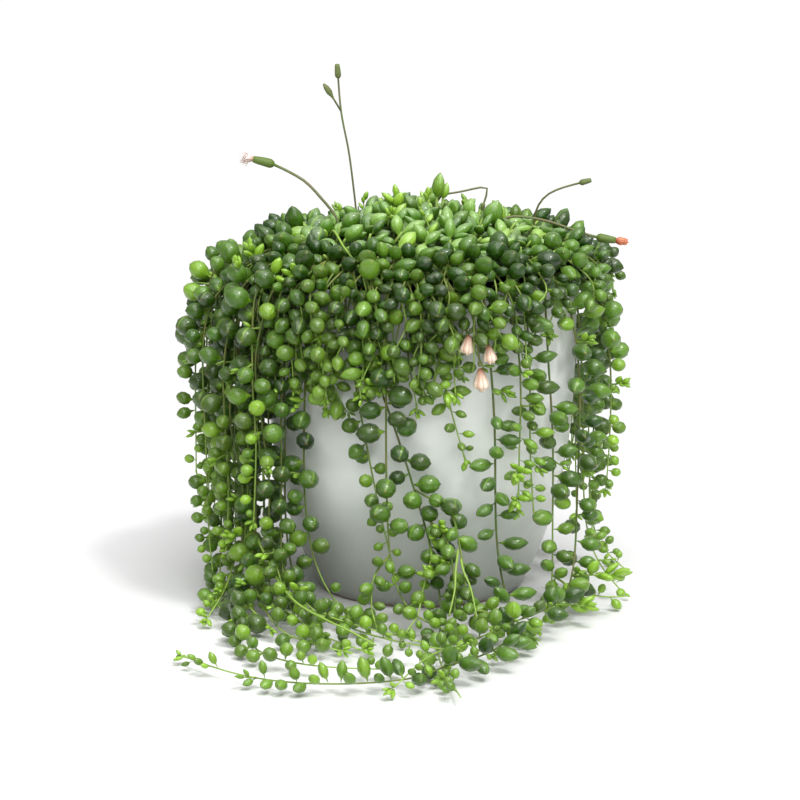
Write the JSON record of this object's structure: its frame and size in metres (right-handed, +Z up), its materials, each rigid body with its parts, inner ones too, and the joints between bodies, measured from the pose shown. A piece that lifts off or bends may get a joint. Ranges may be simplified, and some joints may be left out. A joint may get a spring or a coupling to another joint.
{
  "type": "potted string of pearls",
  "caption": "Potted trailing succulent: a white glazed tumbler pot, a mound of plump leaves on its soil, strings of round pearl leaves over the rim and along the table, and wiry flower stalks.",
  "frame": {"origin": "centre of the pot's flat underside, on the table", "axes": "+Z up along the pot's axis, -Y towards the side that the picture shows, +X to its right"},
  "size_m": [0.1798, 0.2518, 0.203],
  "materials": {
    "pot": "white glaze, satin",
    "soil": "matt, crumbly",
    "mound_leaf": "waxy leaf skin",
    "pearl_leaf": "waxy leaf skin",
    "flower_stalk": "matt green stem",
    "pink_florets": "matt petals",
    "orange_florets": "matt petals",
    "dried_florets": "dry petals"
  },
  "bodies": {
    "root": {"back_string_01": "pearl_leaf", "back_string_02": "pearl_leaf", "back_string_03": "pearl_leaf", "back_string_04": "pearl_leaf", "back_string_05": "pearl_leaf", "back_string_06": "pearl_leaf", "back_string_07": "pearl_leaf", "back_string_08": "pearl_leaf", "back_string_09": "pearl_leaf", "back_string_10": "pearl_leaf", "bent_stalk": "flower_stalk", "dried_head_01": "dried_florets", "dried_head_02": "dried_florets", "dried_head_03": "dried_florets", "dried_stalk": "flower_stalk", "front_string_01": "pearl_leaf", "front_string_02": "pearl_leaf", "front_string_03": "pearl_leaf", "front_string_04": "pearl_leaf", "front_string_05": "pearl_leaf", "front_string_06": "pearl_leaf", "front_string_07": "pearl_leaf", "front_string_08": "pearl_leaf", "front_string_09": "pearl_leaf", "left_bloom": "pink_florets", "left_bloom_stalk": "flower_stalk", "left_string_01": "pearl_leaf", "left_string_02": "pearl_leaf", "left_string_03": "pearl_leaf", "left_string_04": "pearl_leaf", "left_string_05": "pearl_leaf", "left_string_06": "pearl_leaf", "left_string_07": "pearl_leaf", "left_string_08": "pearl_leaf", "left_string_09": "pearl_leaf", "left_string_10": "pearl_leaf", "left_string_11": "pearl_leaf", "left_string_12": "pearl_leaf", "left_string_13": "pearl_leaf", "left_string_14": "pearl_leaf", "left_string_15": "pearl_leaf", "left_string_16": "pearl_leaf", "left_string_17": "pearl_leaf", "mound": "mound_leaf", "pot": "pot", "right_bloom": "orange_florets", "right_bloom_stalk": "flower_stalk", "right_bud_stalk": "flower_stalk", "right_string_01": "pearl_leaf", "right_string_02": "pearl_leaf", "right_string_03": "pearl_leaf", "right_string_04": "pearl_leaf", "right_string_05": "pearl_leaf", "right_string_06": "pearl_leaf", "right_string_07": "pearl_leaf", "right_string_08": "pearl_leaf", "right_string_09": "pearl_leaf", "soil": "soil", "tall_bud_stalk": "flower_stalk"}
  },
  "joints": []
}
